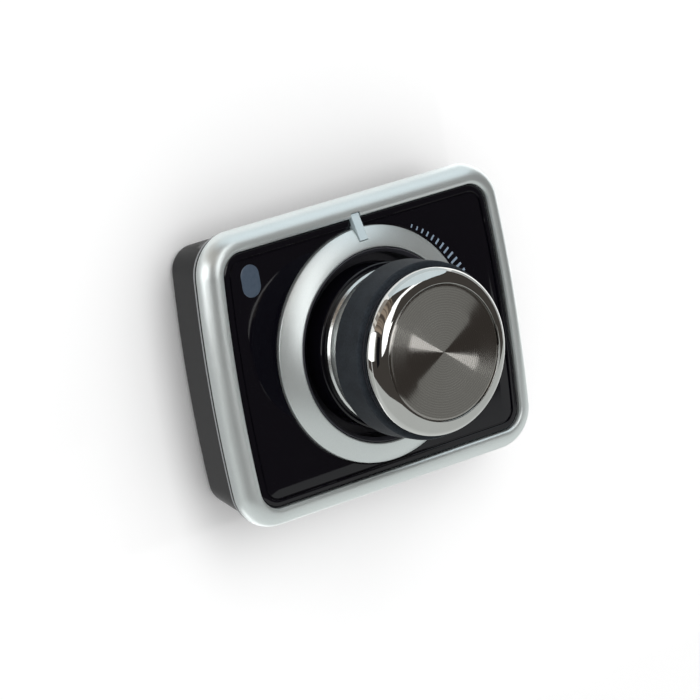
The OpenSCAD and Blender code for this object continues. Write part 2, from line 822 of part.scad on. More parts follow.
module board_capacitors() {
  can_r = 2;
  can_h = 4.4;
  foot = 4.3;
  foot_h = 0.6;
  in_x = 14.1;
  in_y = 12.8;
  can_step = 2.6;
  color([0.7, 0.7, 0.72]) for (s = [-1, 1]) {
    p = [in_x - board_w / 2 + s * can_step, in_y - board_h / 2];
    block(p, [foot, foot], z_board, z_board + foot_h);
    rod(p, can_r, z_board + foot_h / 2, z_board + can_h);
  }
}

module board_resistors() {
  chip_w = 0.8;
  chip_l = 1.6;
  chip_h = 0.5;
  chip_n = 6;
  pitch = 2;
  in_x = 14.5;
  in_y = 12.8;
  color([0.12, 0.12, 0.13]) for (s = [-1, 1], i = [0:chip_n - 1])
    block([s * (board_w / 2 - in_x) + pitch * (i - (chip_n - 1) / 2), board_h / 2 - in_y],
      [chip_w, chip_l], z_board, z_board + chip_h);
}

module cable_socket() {
  color([0.06, 0.06, 0.065]) difference() {
    union() {
      translate([-jack_w / 2, jack_front, z_board]) cube([jack_w, jack_l, jack_h]);
      translate([0, jack_front + past, jack_z]) rotate([90, 0, 0])
        cylinder(d = jack_nose, h = nose_y + jack_front + past);
    }
    translate([0, jack_depth - nose_y, jack_z]) rotate([90, 0, 0])
      cylinder(d = jack_bore, h = jack_depth + past);
  }
}

module socket_contacts() {
  tab_t = 0.3;
  tab_w = 1.6;
  x = jack_w / 2 + tab_t / 2 + push_fit;
  tab_h = 3;
  tab_first = 2.5;
  tab_pitch = 4.5;
  foot_l = 1.3;
  color("silver") for (s = [-1, 1], i = [0, 1]) {
    y = jack_front + tab_first + i * tab_pitch;
    block([s * x, y], [tab_t, tab_w], z_board, z_board + tab_h);
    block([s * (x + (foot_l - tab_t) / 2), y], [foot_l, tab_w], z_board, z_board + tab_t);
  }
}

rear_housing();
housing_screws();
front_chassis();
front_bezel();
face_panel();
trim_ring();
well_liner();
light_pipe();
status_lens();
knob_core();
knob_skirt();
knob_collar();
grip_sleeve();
cap_ring();
cap_disc();
shaft_clip();
encoder_shaft();
encoder_rotor();
encoder_case();
encoder_frame();
encoder_bushing();
encoder_nut();
encoder_washer();
detent_spring();
push_dome();
encoder_pins();
circuit_board();
board_screws();
indicator_led();
status_led();
controller_chip();
board_capacitors();
board_resistors();
cable_socket();
socket_contacts();
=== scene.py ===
"""Looks of the volume commander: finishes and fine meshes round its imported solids.

Lengths are in millimetres in the part's own frame, and become metres where a mesh is made.
"""
import math

import bmesh
import bpy
import numpy as np
from mathutils import Matrix, Vector


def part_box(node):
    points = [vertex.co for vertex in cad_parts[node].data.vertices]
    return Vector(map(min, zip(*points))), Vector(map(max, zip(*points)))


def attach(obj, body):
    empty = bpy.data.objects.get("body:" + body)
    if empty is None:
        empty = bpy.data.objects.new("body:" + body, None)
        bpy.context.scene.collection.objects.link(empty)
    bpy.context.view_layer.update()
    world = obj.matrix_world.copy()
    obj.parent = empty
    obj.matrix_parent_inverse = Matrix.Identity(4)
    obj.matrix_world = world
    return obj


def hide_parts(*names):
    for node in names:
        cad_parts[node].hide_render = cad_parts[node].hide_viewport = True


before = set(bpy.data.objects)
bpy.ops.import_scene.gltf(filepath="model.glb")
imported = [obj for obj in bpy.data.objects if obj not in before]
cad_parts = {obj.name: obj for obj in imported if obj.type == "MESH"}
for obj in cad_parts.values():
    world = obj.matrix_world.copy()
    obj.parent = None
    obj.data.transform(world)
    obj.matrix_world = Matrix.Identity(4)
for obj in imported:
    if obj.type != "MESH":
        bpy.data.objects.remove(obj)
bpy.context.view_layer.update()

MM = 0.001


def span(node):
    """Lowest and highest corner of a solid, in millimetres."""
    low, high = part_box(node)
    return np.array(low) / MM, np.array(high) / MM


# Body: overall sizes and levels from the solids, outline as the solids have it
bezel_low, bezel_high = span("front_bezel")
half_w, half_h = bezel_high[:2]
z_bezel, z_crest = bezel_low[2], bezel_high[2]
housing_low, housing_high = span("rear_housing")
z_back, z_rim = housing_low[2], housing_high[2]
rim_step = half_h - housing_high[1]
face_low, face_high = span("face_panel")
z_seat, z_face = face_low[2], face_high[2]
face_in = half_h - face_high[1]
SIDE_BOW = 1.5
CORNER_R = 8.6
DRAFT = math.tan(math.radians(12.5))
WALL = 2.0
BACK_ROUND = 1.6
FLANGE_DROP = 1.2
FLANGE_H = 0.3
FLANGE_ROUND = 0.32

# Ring, well and pointer
ring_low, ring_high = span("trim_ring")
ring_r, z_ring_top = ring_high[0], ring_high[2]
liner_low, liner_high = span("well_liner")
pipe_low, pipe_high = span("light_pipe")
lens_low, lens_high = span("status_lens")
RING_W = 4.3
RING_RISE = 2.3
RECESS_GAP = 0.35
RECESS_D = 0.4
NECK_T = 1.2
PIPE_SINK = 1.0
FREE_FIT = 0.15

# Knob
skirt_low, skirt_high = span("knob_skirt")
collar_low, collar_high = span("knob_collar")
grip_low, grip_high = span("grip_sleeve")
cap_low, cap_high = span("cap_ring")
disc_low, disc_high = span("cap_disc")
TUBE_R = 14.55
SEAT_R = 15.6
SPIGOT_R = 14.55
DISC_R = 13.45
DISC_FLANGE_T = 0.7
DISC_BEVEL = 0.35

# Screws, posts and socket of the housing
SCREW_HEAD_R = 2.3
SCREW_R = 1.35
SCREW_SEAT_Z = 1.7
BOSS_R = 3.1
BOSS_Z = 8.8
BOARD_HEAD_R = 1.9
BOARD_SCREW_R = 1.0
POST_R = 2.7
JACK_R = 3.15
JACK_Z = 10.7
JACK_DEPTH = 6
screw_at = span("housing_screws")[1][:2] - SCREW_HEAD_R
post_at = span("board_screws")[1][:2] - BOARD_HEAD_R
z_board = span("circuit_board")[0][2]

# Fineness of the meshes
LATHE_STEPS = 288
SIDE_STEPS = 56
CORNER_STEPS = 28
ROUND_STEPS = 6
ROD_STEPS = 64
SCREW_STEPS = 48
SHARP = math.radians(32)
WELD = 1e-4
ON_AXIS = 1e-6

# Slack in tests of place, and how far a cutter stands out of what it cuts
NEAR = 0.01
REACH = 1.0


# Outlines and profiles

def arc(centre, radius, start, end, steps):
    """Points along an arc, in degrees, with both ends."""
    turn = np.radians(np.linspace(start, end, steps + 1))
    return np.c_[centre[0] + radius * np.cos(turn), centre[1] + radius * np.sin(turn)]


def quarter(steps):
    """Angles of a quarter turn, in radians, with both ends."""
    return np.radians(np.linspace(0, 90, steps + 1))


bow_r = (half_h ** 2 + SIDE_BOW ** 2) / (2 * SIDE_BOW)
bow_x = bow_r - half_w
corner_y = half_h - CORNER_R
corner_x = math.sqrt((bow_r - CORNER_R) ** 2 - corner_y ** 2) - bow_x
bow_a = math.degrees(math.atan2(corner_y, corner_x + bow_x))


def outline(inset):
    """The body's outline, drawn in by a distance: bowed sides, straight top and bottom, round corners."""
    side = arc((-bow_x, 0), bow_r - inset, -bow_a, bow_a, SIDE_STEPS)
    corner = arc((corner_x, corner_y), CORNER_R - inset, bow_a, 90, CORNER_STEPS)
    right = np.vstack([side[:-1], corner])
    lower = corner[::-1] * (1, -1)
    half = np.vstack([lower[:-1], right])
    return np.vstack([half, half[::-1] * (-1, 1)])


def pill(centre, width, length, inset=0.0):
    """A pill with round ends along Y, drawn in by a distance."""
    radius = width / 2 - inset
    reach = (length - width) / 2
    top = arc((centre[0], centre[1] + reach), radius, 0, 180, 4 * ROUND_STEPS)
    return np.vstack([top, 2 * np.array(centre) - top])


def filleted(corners, steps=ROUND_STEPS):
    """A closed profile of (across, height, radius) corners, each rounded by its own radius."""
    spots = [np.array(corner[:2], float) for corner in corners]
    points = []
    for i, spot in enumerate(spots):
        radius = corners[i][2] if len(corners[i]) > 2 else 0
        if not radius:
            points.append(spot)
            continue
        before = spots[i - 1] - spot
        after = spots[(i + 1) % len(spots)] - spot
        before /= np.linalg.norm(before)
        after /= np.linalg.norm(after)
        half = math.acos(before @ after) / 2
        middle = spot + (before + after) / np.linalg.norm(before + after) * radius / math.sin(half)
        first = spot + before * radius / math.tan(half) - middle
        last = spot + after * radius / math.tan(half) - middle
        start = math.atan2(first[1], first[0])
        swing = (math.atan2(last[1], last[0]) - start + math.pi) % (2 * math.pi) - math.pi
        for k in range(steps + 1):
            turn = start + swing * k / steps
            points.append(middle + radius * np.array([math.cos(turn), math.sin(turn)]))
    return np.array(points)


def bent(start, bends, step=2.0):
    """A smooth line of arcs: each bend has a radius and its normal's first and last angle, in degrees."""
    points = np.array([start], float)
    for radius, first, last in bends:
        out = np.array([math.cos(math.radians(first)), math.sin(math.radians(first))])
        bend = arc(points[-1] - radius * out, radius, first, last, max(3, round((last - first) / step)))
        points = np.vstack([points, bend[1:]])
    return points


# Meshes

def level(points, z):
    """A flat outline lifted to a height."""
    return np.c_[points, np.full(len(points), z)]


def strips(rings, wrap):
    """Faces between neighbouring rings of equal count."""
    count = len(rings[0])
    faces = []
    for k in range(len(rings) if wrap else len(rings) - 1):
        low, high = k * count, (k + 1) % len(rings) * count
        for i in range(count):
            j = (i + 1) % count
            faces.append((low + i, low + j, high + j, high + i))
    return faces


def open_skin(name, rings):
    """A mesh over rings with open ends, or with ends that shrink to a point."""
    return solid(name, np.vstack(rings), strips(rings, False))


def skin(name, rings, wrap=False):
    """A closed mesh over rings of equal count. Without wrap, flat ends close it."""
    faces = strips(rings, wrap)
    if not wrap:
        count = len(rings[0])
        faces.append(tuple(range(count)))
        faces.append(tuple(range((len(rings) - 1) * count, len(rings) * count)))
    return solid(name, np.vstack(rings), faces)


def solid(name, points, faces):
    """An object from points and faces, with doubled points joined and faces turned outwards."""
    data = bpy.data.meshes.new(name)
    data.from_pydata((np.asarray(points) * MM).tolist(), [], faces)
    shape = bmesh.new()
    shape.from_mesh(data)
    bmesh.ops.remove_doubles(shape, verts=shape.verts, dist=WELD * MM)
    bmesh.ops.dissolve_degenerate(shape, edges=shape.edges, dist=WELD * MM)
    bmesh.ops.recalc_face_normals(shape, faces=shape.faces)
    shape.to_mesh(data)
    shape.free()
    made = bpy.data.objects.new(name, data)
    bpy.context.scene.collection.objects.link(made)
    return made


def lathe(name, profile, wrap=True):
    """A profile of radius and height turned about Z. Without wrap it starts and ends on the axis."""
    turn = np.arange(LATHE_STEPS) / LATHE_STEPS * 2 * math.pi
    circle = np.c_[np.cos(turn), np.sin(turn)]
    rings = [level(circle * max(r, ON_AXIS), z) for r, z in profile]
    return skin(name, rings, True) if wrap else open_skin(name, rings)


def sweep(name, profile):
    """A closed profile of inset and height swept round the body's outline."""
    return skin(name, [level(outline(inset), z) for inset, z in profile], True)


def block(low, high):
    """A box to cut with."""
    (x0, y0, z0), (x1, y1, z1) = low, high
    ring = np.array([(x0, y0), (x1, y0), (x1, y1), (x0, y1)])
    return skin("cutter", [level(ring, z0), level(ring, z1)])


def rod(centre, radius, z0, z1, steps=ROD_STEPS):
    """An upright rod to cut or join with."""
    ring = arc(centre, radius, 0, 360, steps)[:-1]
    return skin("cutter", [level(ring, z0), level(ring, z1)])


def four_rods(centre, radius, z0, z1):
    """Four upright rods at a centre and its mirror places, as one tool."""
    points, faces = [], []
    for x in (-centre[0], centre[0]):
        for y in (-centre[1], centre[1]):
            ring = arc((x, y), radius, 0, 360, SCREW_STEPS)[:-1]
            base, count = len(points), len(ring)
            points += [*level(ring, z0), *level(ring, z1)]
            faces += [tuple(base + i for i in face) for face in strips([ring, ring], False)]
            faces += [tuple(range(base, base + count)), tuple(range(base + count, base + 2 * count))]
    return solid("cutter", points, faces)


def lying_rod(radius, z, y0, y1):
    """A rod along Y to cut with."""
    ring = arc((0, z), radius, 0, 360, ROD_STEPS)[:-1]
    return skin("cutter", [np.c_[ring[:, 0], np.full(len(ring), y), ring[:, 1]] for y in (y0, y1)])


def shaped(piece):
    """Puts the result of a piece's modifiers into its mesh."""
    graph = bpy.context.evaluated_depsgraph_get()
    result = bpy.data.meshes.new_from_object(piece.evaluated_get(graph))
    piece.modifiers.clear()
    old = piece.data
    piece.data = result
    bpy.data.meshes.remove(old)


def carve(piece, *tools, operation="DIFFERENCE"):
    """Cuts tools out of a piece, or joins them to it."""
    for tool in tools:
        step = piece.modifiers.new("carve", "BOOLEAN")
        step.object = tool
        step.operation = operation
        step.solver = "EXACT"
        shaped(piece)
        old = tool.data
        bpy.data.objects.remove(tool)
        bpy.data.meshes.remove(old)


def soften(piece, wanted, width, steps=3):
    """Rounds the sharp edges of a piece whose middle the wanted test picks, in millimetres."""
    shape = bmesh.new()
    shape.from_mesh(piece.data)
    picked = []
    for edge in shape.edges:
        middle = (edge.verts[0].co + edge.verts[1].co) / (2 * MM)
        if len(edge.link_faces) == 2 and edge.calc_face_angle() > SHARP and wanted(middle):
            picked.append(edge)
    bmesh.ops.bevel(shape, geom=picked, offset=width * MM, segments=steps, profile=0.5,
                    affect="EDGES", clamp_overlap=True)
    shape.to_mesh(piece.data)
    shape.free()


def shade(piece):
    """Smooth shading with sharp edges kept, weighted so that flat faces look flat."""
    shape = bmesh.new()
    shape.from_mesh(piece.data)
    for edge in shape.edges:
        edge.smooth = len(edge.link_faces) == 2 and edge.calc_face_angle() < SHARP
    for face in shape.faces:
        face.smooth = True
    shape.to_mesh(piece.data)
    shape.free()
    even = piece.modifiers.new("even_shade", "WEIGHTED_NORMAL")
    even.keep_sharp = True


def place(piece, body, slot, finish, *nodes):
    """Shades a piece, gives it its finish, and sets it on its body, in place of its solids if it has any."""
    shade(piece)
    piece.data.materials.clear()
    piece.data.materials.append(finish)
    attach(piece, body)
    if nodes:
        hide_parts(*nodes)


# Finishes

class Signal:
    """A socket of a finish that ordinary arithmetic works on."""

    def __init__(self, finish, socket):
        self.finish = finish
        self.socket = socket

    def maths(self, operation, first, second=0.0):
        return self.finish.node("Math", {"operation": operation}, {0: first, 1: second})

    def __add__(self, other):
        return self.maths("ADD", self, other)

    def __radd__(self, other):
        return self.maths("ADD", other, self)

    def __sub__(self, other):
        return self.maths("SUBTRACT", self, other)

    def __rsub__(self, other):
        return self.maths("SUBTRACT", other, self)

    def __mul__(self, other):
        return self.maths("MULTIPLY", self, other)

    def __rmul__(self, other):
        return self.maths("MULTIPLY", other, self)

    def __truediv__(self, other):
        return self.maths("DIVIDE", self, other)

    def __rtruediv__(self, other):
        return self.maths("DIVIDE", other, self)

    def floor(self):
        return self.maths("FLOOR", self)

    def sine(self):
        return self.maths("SINE", self)

    def between(self, low, high):
        """0 below low, 1 above high, and a smooth step between them."""
        return self.finish.node("MapRange", {"interpolation_type": "SMOOTHSTEP"},
                                {"Value": self, "From Min": low, "From Max": high})


class Finish:
    """One procedural material, built node by node."""

    def __init__(self, name):
        self.material = bpy.data.materials.new(name)
        self.material.use_nodes = True
        self.tree = self.material.node_tree
        self.tree.nodes.clear()
        self.spot = self.node("TexCoord", out="Object")

    def node(self, kind, settings=None, sockets=None, out=0):
        """A node of that type, its settings first, then its sockets' values or links."""
        made = self.tree.nodes.new("ShaderNode" + kind)
        for key, value in (settings or {}).items():
            setattr(made, key, value)
        for key, value in (sockets or {}).items():
            if isinstance(value, Signal):
                self.tree.links.new(value.socket, made.inputs[key])
            else:
                made.inputs[key].default_value = value
        return Signal(self, made.outputs[out]) if made.outputs else None

    def noise(self, size, detail=2.0):
        """Soft noise whose features are about that many millimetres."""
        return self.node("TexNoise", {}, {"Vector": self.spot, "Scale": 1 / (size * MM), "Detail": detail})

    def cells(self, size):
        """A grey per cell, of cells about that many millimetres wide."""
        colour = self.node("TexVoronoi", {}, {"Vector": self.spot, "Scale": 1 / (size * MM)}, "Color")
        return self.node("SeparateXYZ", {}, {0: colour})

    def axis(self, name):
        """One coordinate, in millimetres."""
        return self.node("SeparateXYZ", {}, {0: self.spot}, name) / MM

    def radius(self):
        """Distance from the knob's axis, in millimetres."""
        flat = self.node("VectorMath", {"operation": "MULTIPLY"}, {0: self.spot, 1: (1, 1, 0)})
        return self.node("VectorMath", {"operation": "LENGTH"}, {0: flat}, "Value") / MM

    def mix(self, share, first, second):
        """A colour between two colours."""
        return self.node("Mix", {"data_type": "RGBA"}, {0: share, 6: rgba(first), 7: rgba(second)}, 2)

    def bump(self, height, depth):
        """A normal from a height, where 1 stands for a depth in millimetres."""
        return self.node("Bump", {}, {"Height": height, "Distance": depth * MM, "Strength": 1.0})

    def done(self, **sockets):
        """Ends the finish in one surface with these sockets."""
        named = {key.replace("_", " "): value for key, value in sockets.items()}
        surface = self.node("BsdfPrincipled", {}, named)
        return self.ends_in(surface)

    def lit(self, colour):
        """Ends the finish in a plain glow of that colour."""
        return self.ends_in(self.node("Emission", {}, {"Color": rgba(colour)}))

    def ends_in(self, surface):
        """Sets the surface that the material shows."""
        self.node("OutputMaterial", {}, {"Surface": surface})
        return self.material


def rgba(colour):
    """A colour socket's value, or a link as it is."""
    return colour if isinstance(colour, Signal) else (*colour, 1.0)


def silver_paint():
    """Satin silver lacquer with fine metal flakes."""
    f = Finish("silver_paint")
    flakes = f.cells(0.07)
    cloud = f.noise(7, 3)
    return f.done(Base_Color=f.mix(flakes * 0.7 + cloud * 0.3, (0.735, 0.785, 0.78), (0.835, 0.885, 0.88)),
                  Metallic=0.8, Roughness=0.31 + cloud * 0.04 + flakes * 0.06,
                  Normal=f.bump(flakes, 0.0015))


def gloss_black():
    """Polished black panel with a faint orange peel and a few smudges."""
    f = Finish("gloss_black")
    smudge = f.noise(11, 4)
    dust = f.noise(0.35, 1).between(0.74, 0.8)
    return f.done(Base_Color=f.mix(dust * 0.35, (0.0026, 0.0023, 0.0042), (0.03, 0.03, 0.034)),
                  Roughness=0.035 + smudge.between(0.45, 0.75) * 0.04 + dust * 0.2,
                  Normal=f.bump(f.noise(5, 1), 0.003))


def housing_plastic():
    """Dark grey moulded plastic, polished, with a painted highlight in a pale band along its flange."""
    f = Finish("housing_plastic")
    smudge = f.noise(9, 4)
    grain = f.noise(0.3, 2)
    # Painted highlight: a pale band of base colour on the flange's round top stands in for its lit edge.
    below_rim = z_rim - f.axis("Z")
    flange_top = FLANGE_DROP - FLANGE_H - FLANGE_ROUND
    below_top = below_rim.between(flange_top + 0.08, flange_top + 0.2)
    painted_flange_highlight = below_top * (1 - below_rim.between(FLANGE_DROP - 0.1, FLANGE_DROP))
    plastic = f.mix(smudge, (0.008, 0.0085, 0.009), (0.013, 0.0135, 0.014))
    return f.done(Base_Color=f.mix(painted_flange_highlight, plastic, (0.30, 0.31, 0.32)),
                  Roughness=0.12 + smudge * 0.07 + grain * 0.03, IOR=1.33,
                  Normal=f.bump(grain, 0.0012))


def inner_black():
    """Matt black moulding with a fine spark grain."""
    f = Finish("inner_black")
    grain = f.noise(0.22, 3)
    cloud = f.noise(5, 2)
    return f.done(Base_Color=f.mix(grain, (0.034, 0.034, 0.043), (0.058, 0.058, 0.069)),
                  Roughness=0.36 + grain * 0.12 + cloud * 0.05,
                  Normal=f.bump(grain, 0.008))


def grip_rubber():
    """Dark blue-grey rubber with a fine matt grain."""
    f = Finish("grip_rubber")
    grain = f.noise(0.3, 3)
    cloud = f.noise(4, 3)
    rub = (grain * 0.65 + cloud * 0.35).between(0.3, 0.72)
    return f.done(Base_Color=f.mix(rub, (0.006, 0.0095, 0.0145), (0.020, 0.0275, 0.036)),
                  Roughness=0.7 + grain * 0.16,
                  Sheen_Weight=0.08, Sheen_Roughness=0.4, Specular_IOR_Level=0.32,
                  Normal=f.bump(grain, 0.03))


def chrome_trim():
    """Bright chrome plate with faint wipe marks."""
    f = Finish("chrome_trim")
    wipe = f.noise(3, 5)
    return f.done(Base_Color=f.mix(wipe, (0.66, 0.665, 0.645), (0.73, 0.735, 0.715)),
                  Metallic=1.0, Roughness=0.03 + wipe.between(0.4, 0.8) * 0.04)


def satin_chrome():
    """Satin chrome plate of the collar."""
    f = Finish("satin_chrome")
    wipe = f.noise(2, 4)
    return f.done(Base_Color=f.mix(wipe, (0.76, 0.78, 0.77), (0.82, 0.84, 0.83)),
                  Metallic=1.0, Roughness=0.2 + wipe * 0.08)


def spun_metal():
    """Turned disc: V cuts in rings mirror each spot two ways, and the cuts are shallower near the rim."""
    f = Finish("spun_metal")
    pitch = 0.5
    cut_slope, rim_slope = 0.29, 0.2
    rim_start, rim_end = 8.0, 9.8
    flat_r, blend = DISC_R - DISC_BEVEL, 0.03
    radius = f.radius()
    rim = radius.between(rim_start, rim_end)
    plain = radius.between(flat_r - blend, flat_r)
    wave = (radius * (2 * math.pi / pitch)).sine()
    fine = f.node("TexNoise", {"noise_dimensions": "1D"}, {"W": radius, "Scale": 9.0, "Detail": 3.0})
    tone = f.mix(0.5 + wave * 0.2 + (fine - 0.5) * 0.5, (0.37, 0.355, 0.33), (0.49, 0.475, 0.45))
    slope = (cut_slope - rim * (cut_slope - rim_slope) + wave * 0.008 + (fine - 0.5) * 0.02) * (1.0 - plain)
    flat = f.node("VectorMath", {"operation": "MULTIPLY"}, {0: f.spot, 1: (1, 1, 0)})
    outward = f.node("VectorTransform", {"convert_from": "OBJECT", "convert_to": "WORLD"},
                     {0: f.node("VectorMath", {"operation": "NORMALIZE"}, {0: flat})})
    upright = f.node("NewGeometry", out="Normal")
    sides = []
    for lean in (slope, 0.0 - slope):
        tilt = f.node("VectorMath", {"operation": "SCALE"}, {0: outward, "Scale": lean})
        leaning = f.node("VectorMath", {"operation": "ADD"}, {0: upright, 1: tilt})
        sides.append(f.node("BsdfPrincipled", {}, {
            "Base Color": tone, "Metallic": 1.0, "Roughness": 0.115 + fine * 0.03,
            "Anisotropic": 1.0, "Anisotropic Rotation": 0.25,
            "Normal": f.node("VectorMath", {"operation": "NORMALIZE"}, {0: leaning})}))
    return f.ends_in(f.node("MixShader", {}, {0: 0.5, 1: sides[0], 2: sides[1]}))


def light_guide():
    """Frosted clear plastic."""
    f = Finish("light_guide")
    frost = f.noise(0.2, 2)
    return f.done(Base_Color=f.mix(frost, (0.56, 0.68, 0.72), (0.68, 0.79, 0.83)),
                  Roughness=0.16 + frost * 0.12, Transmission_Weight=0.2, IOR=1.49,
                  Normal=f.bump(frost, 0.003))


def lens_blue():
    """Blue-grey lens, a little cloudy under a clear coat."""
    f = Finish("lens_blue")
    cloud = f.noise(0.8, 3)
    return f.done(Base_Color=f.mix(cloud, (0.045, 0.065, 0.095), (0.065, 0.09, 0.125)),
                  Roughness=0.2 + cloud * 0.1, Coat_Weight=0.4, Coat_Roughness=0.08)


def print_ink():
    """Pale blue printed ink, a little uneven."""
    f = Finish("print_ink")
    cloud = f.noise(0.3, 3)
    return f.done(Base_Color=f.mix(cloud, (0.18, 0.25, 0.33), (0.26, 0.33, 0.41)),
                  Roughness=0.45 + cloud * 0.1)


def bare_metal(name, dark, bright, roughness, line):
    """Drawn or turned metal: fine lines, stretched where line is small, and a little stain."""
    f = Finish(name)
    line_w = 0.25
    stretched = f.node("VectorMath", {"operation": "MULTIPLY"}, {0: f.spot, 1: line})
    lines = f.node("TexNoise", {}, {"Vector": stretched, "Scale": 1 / (line_w * MM), "Detail": 3.0})
    stain = f.noise(2.5, 3)
    return f.done(Base_Color=f.mix(lines * 0.6 + stain * 0.4, dark, bright),
                  Metallic=1.0, Roughness=roughness + lines * 0.14 + stain * 0.06,
                  Normal=f.bump(lines, 0.004))


def moulded(name, dark, bright, roughness):
    """Plain moulded plastic with a fine grain."""
    f = Finish(name)
    grain = f.noise(0.2, 3)
    cloud = f.noise(2.5, 2)
    return f.done(Base_Color=f.mix(grain * 0.5 + cloud * 0.5, dark, bright),
                  Roughness=roughness + grain * 0.12,
                  Normal=f.bump(grain, 0.006))


def board_laminate():
    """Green solder mask over broken copper tracks in even lanes."""
    f = Finish("board_laminate")
    pitch = 1.27
    lane = f.node("TexWhiteNoise", {"noise_dimensions": "1D"}, {"W": (f.axis("Y") / pitch).floor()})
    wave = (f.axis("Y") * (2 * math.pi / pitch)).sine().between(0.1, 0.3)
    broken = f.noise(6, 1).between(0.42, 0.46)
    track = wave * broken * lane.between(0.3, 0.32)
    weave = f.noise(0.4, 2)
    mask = f.mix(track, (0.012, 0.075, 0.035), (0.03, 0.14, 0.06))
    return f.done(Base_Color=f.mix(weave * 0.25, mask, (0.05, 0.16, 0.08)),
                  Roughness=0.28 + weave * 0.12, Coat_Weight=0.3,
                  Normal=f.bump(track, 0.03))


# Pieces of the body

def rear_housing(finish):
    """Tapered tub with a round back edge, a thin flange, posts, bosses and openings."""
    def wall_inset(z):
        return rim_step + (z_rim - z) * DRAFT

    z_flange = z_rim - FLANGE_DROP
    flange_in = rim_step - 0.2
    edge = 0.06
    z_floor = z_back + WALL
    back = [(BACK_ROUND * (1 - math.cos(a)), BACK_ROUND * (1 - math.sin(a)))
            for a in quarter(2 * ROUND_STEPS)]
    outer = [(z_back + up, wall_inset(z_back + up) + inward) for up, inward in back]
    outer += [(z_flange - FLANGE_H, wall_inset(z_flange - FLANGE_H)),
              (z_flange, wall_inset(z_flange)),
              (z_flange, flange_in + edge),
              (z_flange + edge, flange_in)]
    outer += [(z_flange + FLANGE_H + FLANGE_ROUND * math.sin(a),
               flange_in + FLANGE_ROUND * (1 - math.cos(a)))
              for a in quarter(ROUND_STEPS)]
    outer += [(z_rim, flange_in + FLANGE_ROUND)]
    inner = [(z_rim, wall_inset(z_rim) + WALL), (z_floor, wall_inset(z_floor) + WALL)]
    tub = skin("rear_housing_shell", [level(outline(inset), z) for z, inset in outer + inner])
    carve(tub,
          four_rods(post_at, POST_R, z_floor / 2, z_board),
          four_rods(screw_at, BOSS_R, z_floor / 2, BOSS_Z),
          operation="UNION")
    carve(tub,
          four_rods(post_at, BOARD_SCREW_R, z_floor, z_board + REACH),
          four_rods(screw_at, SCREW_R, -REACH, BOSS_Z + REACH),
          four_rods(screw_at, SCREW_HEAD_R + FREE_FIT, -REACH, SCREW_SEAT_Z),
          lying_rod(JACK_R, JACK_Z, -half_h, -half_h + JACK_DEPTH))
    mouth_r = SCREW_HEAD_R + 0.2
    mouth_round = 0.15

    def mouth(at):
        off = math.hypot(abs(at.x) - screw_at[0], abs(at.y) - screw_at[1])
        return at.z < z_back + NEAR and off < mouth_r
    soften(tub, mouth, mouth_round)
    place(tub, "base", "housing_plastic", finish, "rear_housing")


def front_bezel(finish):
    """Half-round silver frame with a notch for the light pipe."""
    bezel_w = face_in - FREE_FIT
    crest_in = 3.2
    fall = 0.6
    edge_h = 0.3
    foot_edge = 0.08
    skirt = 1.6
    bead_steps, lip_steps = 22, 8
    notch_round = 0.22
    floor_clear = 0.1
    bead = [(crest_in * (1 - math.cos(a)), z_bezel + edge_h + (z_crest - z_bezel - edge_h) * math.sin(a))
            for a in quarter(bead_steps)]
    lip = [(crest_in + (bezel_w - crest_in) * math.sin(a), z_crest - fall * (1 - math.cos(a)))
           for a in quarter(lip_steps)[1:]]
    foot = [(bezel_w, z_seat), (skirt, z_seat), (skirt, z_bezel),
            (foot_edge, z_bezel), (0.0, z_bezel + foot_edge)]
    bezel = sweep("front_bezel_frame", bead + lip + foot)
    half = pipe_high[0] + FREE_FIT
    z_low = z_face - PIPE_SINK - FREE_FIT
    start = half_h - bezel_w
    end = pipe_high[1] + FREE_FIT
    carve(bezel, block((-half, start - REACH, z_low), (half, end, z_crest + REACH)))

    def notch_edge(at):
        across = abs(at.x) < half + NEAR and start + 2 * NEAR < at.y < end + NEAR
        return across and at.z > z_low + floor_clear
    soften(bezel, notch_edge, notch_round)
    place(bezel, "base", "silver_paint", finish, "front_bezel")


def face_panel(finish):
    """Black front plate: rolled edge, border groove, recess for the ring and openings."""
    roll_w, roll_h, roll_steps = 1.0, 0.4, 12
    groove_in, groove_w, groove_d = 1.3, 0.5, 0.35
    lip_w, lip_h = 0.06, 0.05
    flat_w = 0.26
    shoulder_h = 0.16
    pillow_w, pillow_h, pillow_steps = 2.3, 0.1, 8
    lens_play = 0.1
    start = face_in + groove_in
    end = start + groove_w
    roll = [(face_in + roll_w * (1 - math.cos(a)), z_face - roll_h * (1 - math.sin(a)))
            for a in quarter(roll_steps)]
    groove = [(start, z_face), (start + lip_w, z_face - lip_h), (start + 2 * lip_w, z_face - groove_d),
              (start + 2 * lip_w + flat_w, z_face - groove_d), (end - lip_w, z_face - shoulder_h)]
    pillow = [(end + pillow_w * share, z_face - pillow_h * (1 - share) ** 2)
              for share in np.linspace(0, 1, pillow_steps + 1)]
    levels = [(face_in, z_seat)] + roll + groove + pillow
    plate = skin("face_panel_plate", [level(outline(inset), z) for inset, z in levels])
    recess_r = ring_r + RECESS_GAP
    neck_r = ring_r - RING_W + NECK_T + FREE_FIT
    slot = pipe_high[0] + FREE_FIT
    lens_mid = (lens_low + lens_high) / 2
    lens_size = lens_high - lens_low
    hole = pill(lens_mid[:2], lens_size[0] + lens_play, lens_size[1] + lens_play)
    carve(plate,
          rod((0, 0), recess_r, z_face - RECESS_D, z_face + REACH, LATHE_STEPS),
          rod((0, 0), neck_r, z_seat - REACH, z_face + REACH, LATHE_STEPS),
          block((-slot, pipe_low[1] - FREE_FIT, z_seat - REACH), (slot, half_h, z_face + REACH)),
          skin("cutter", [level(hole, z_seat - REACH), level(hole, z_face + REACH)]))
    place(plate, "base", "gloss_black", finish, "face_panel")


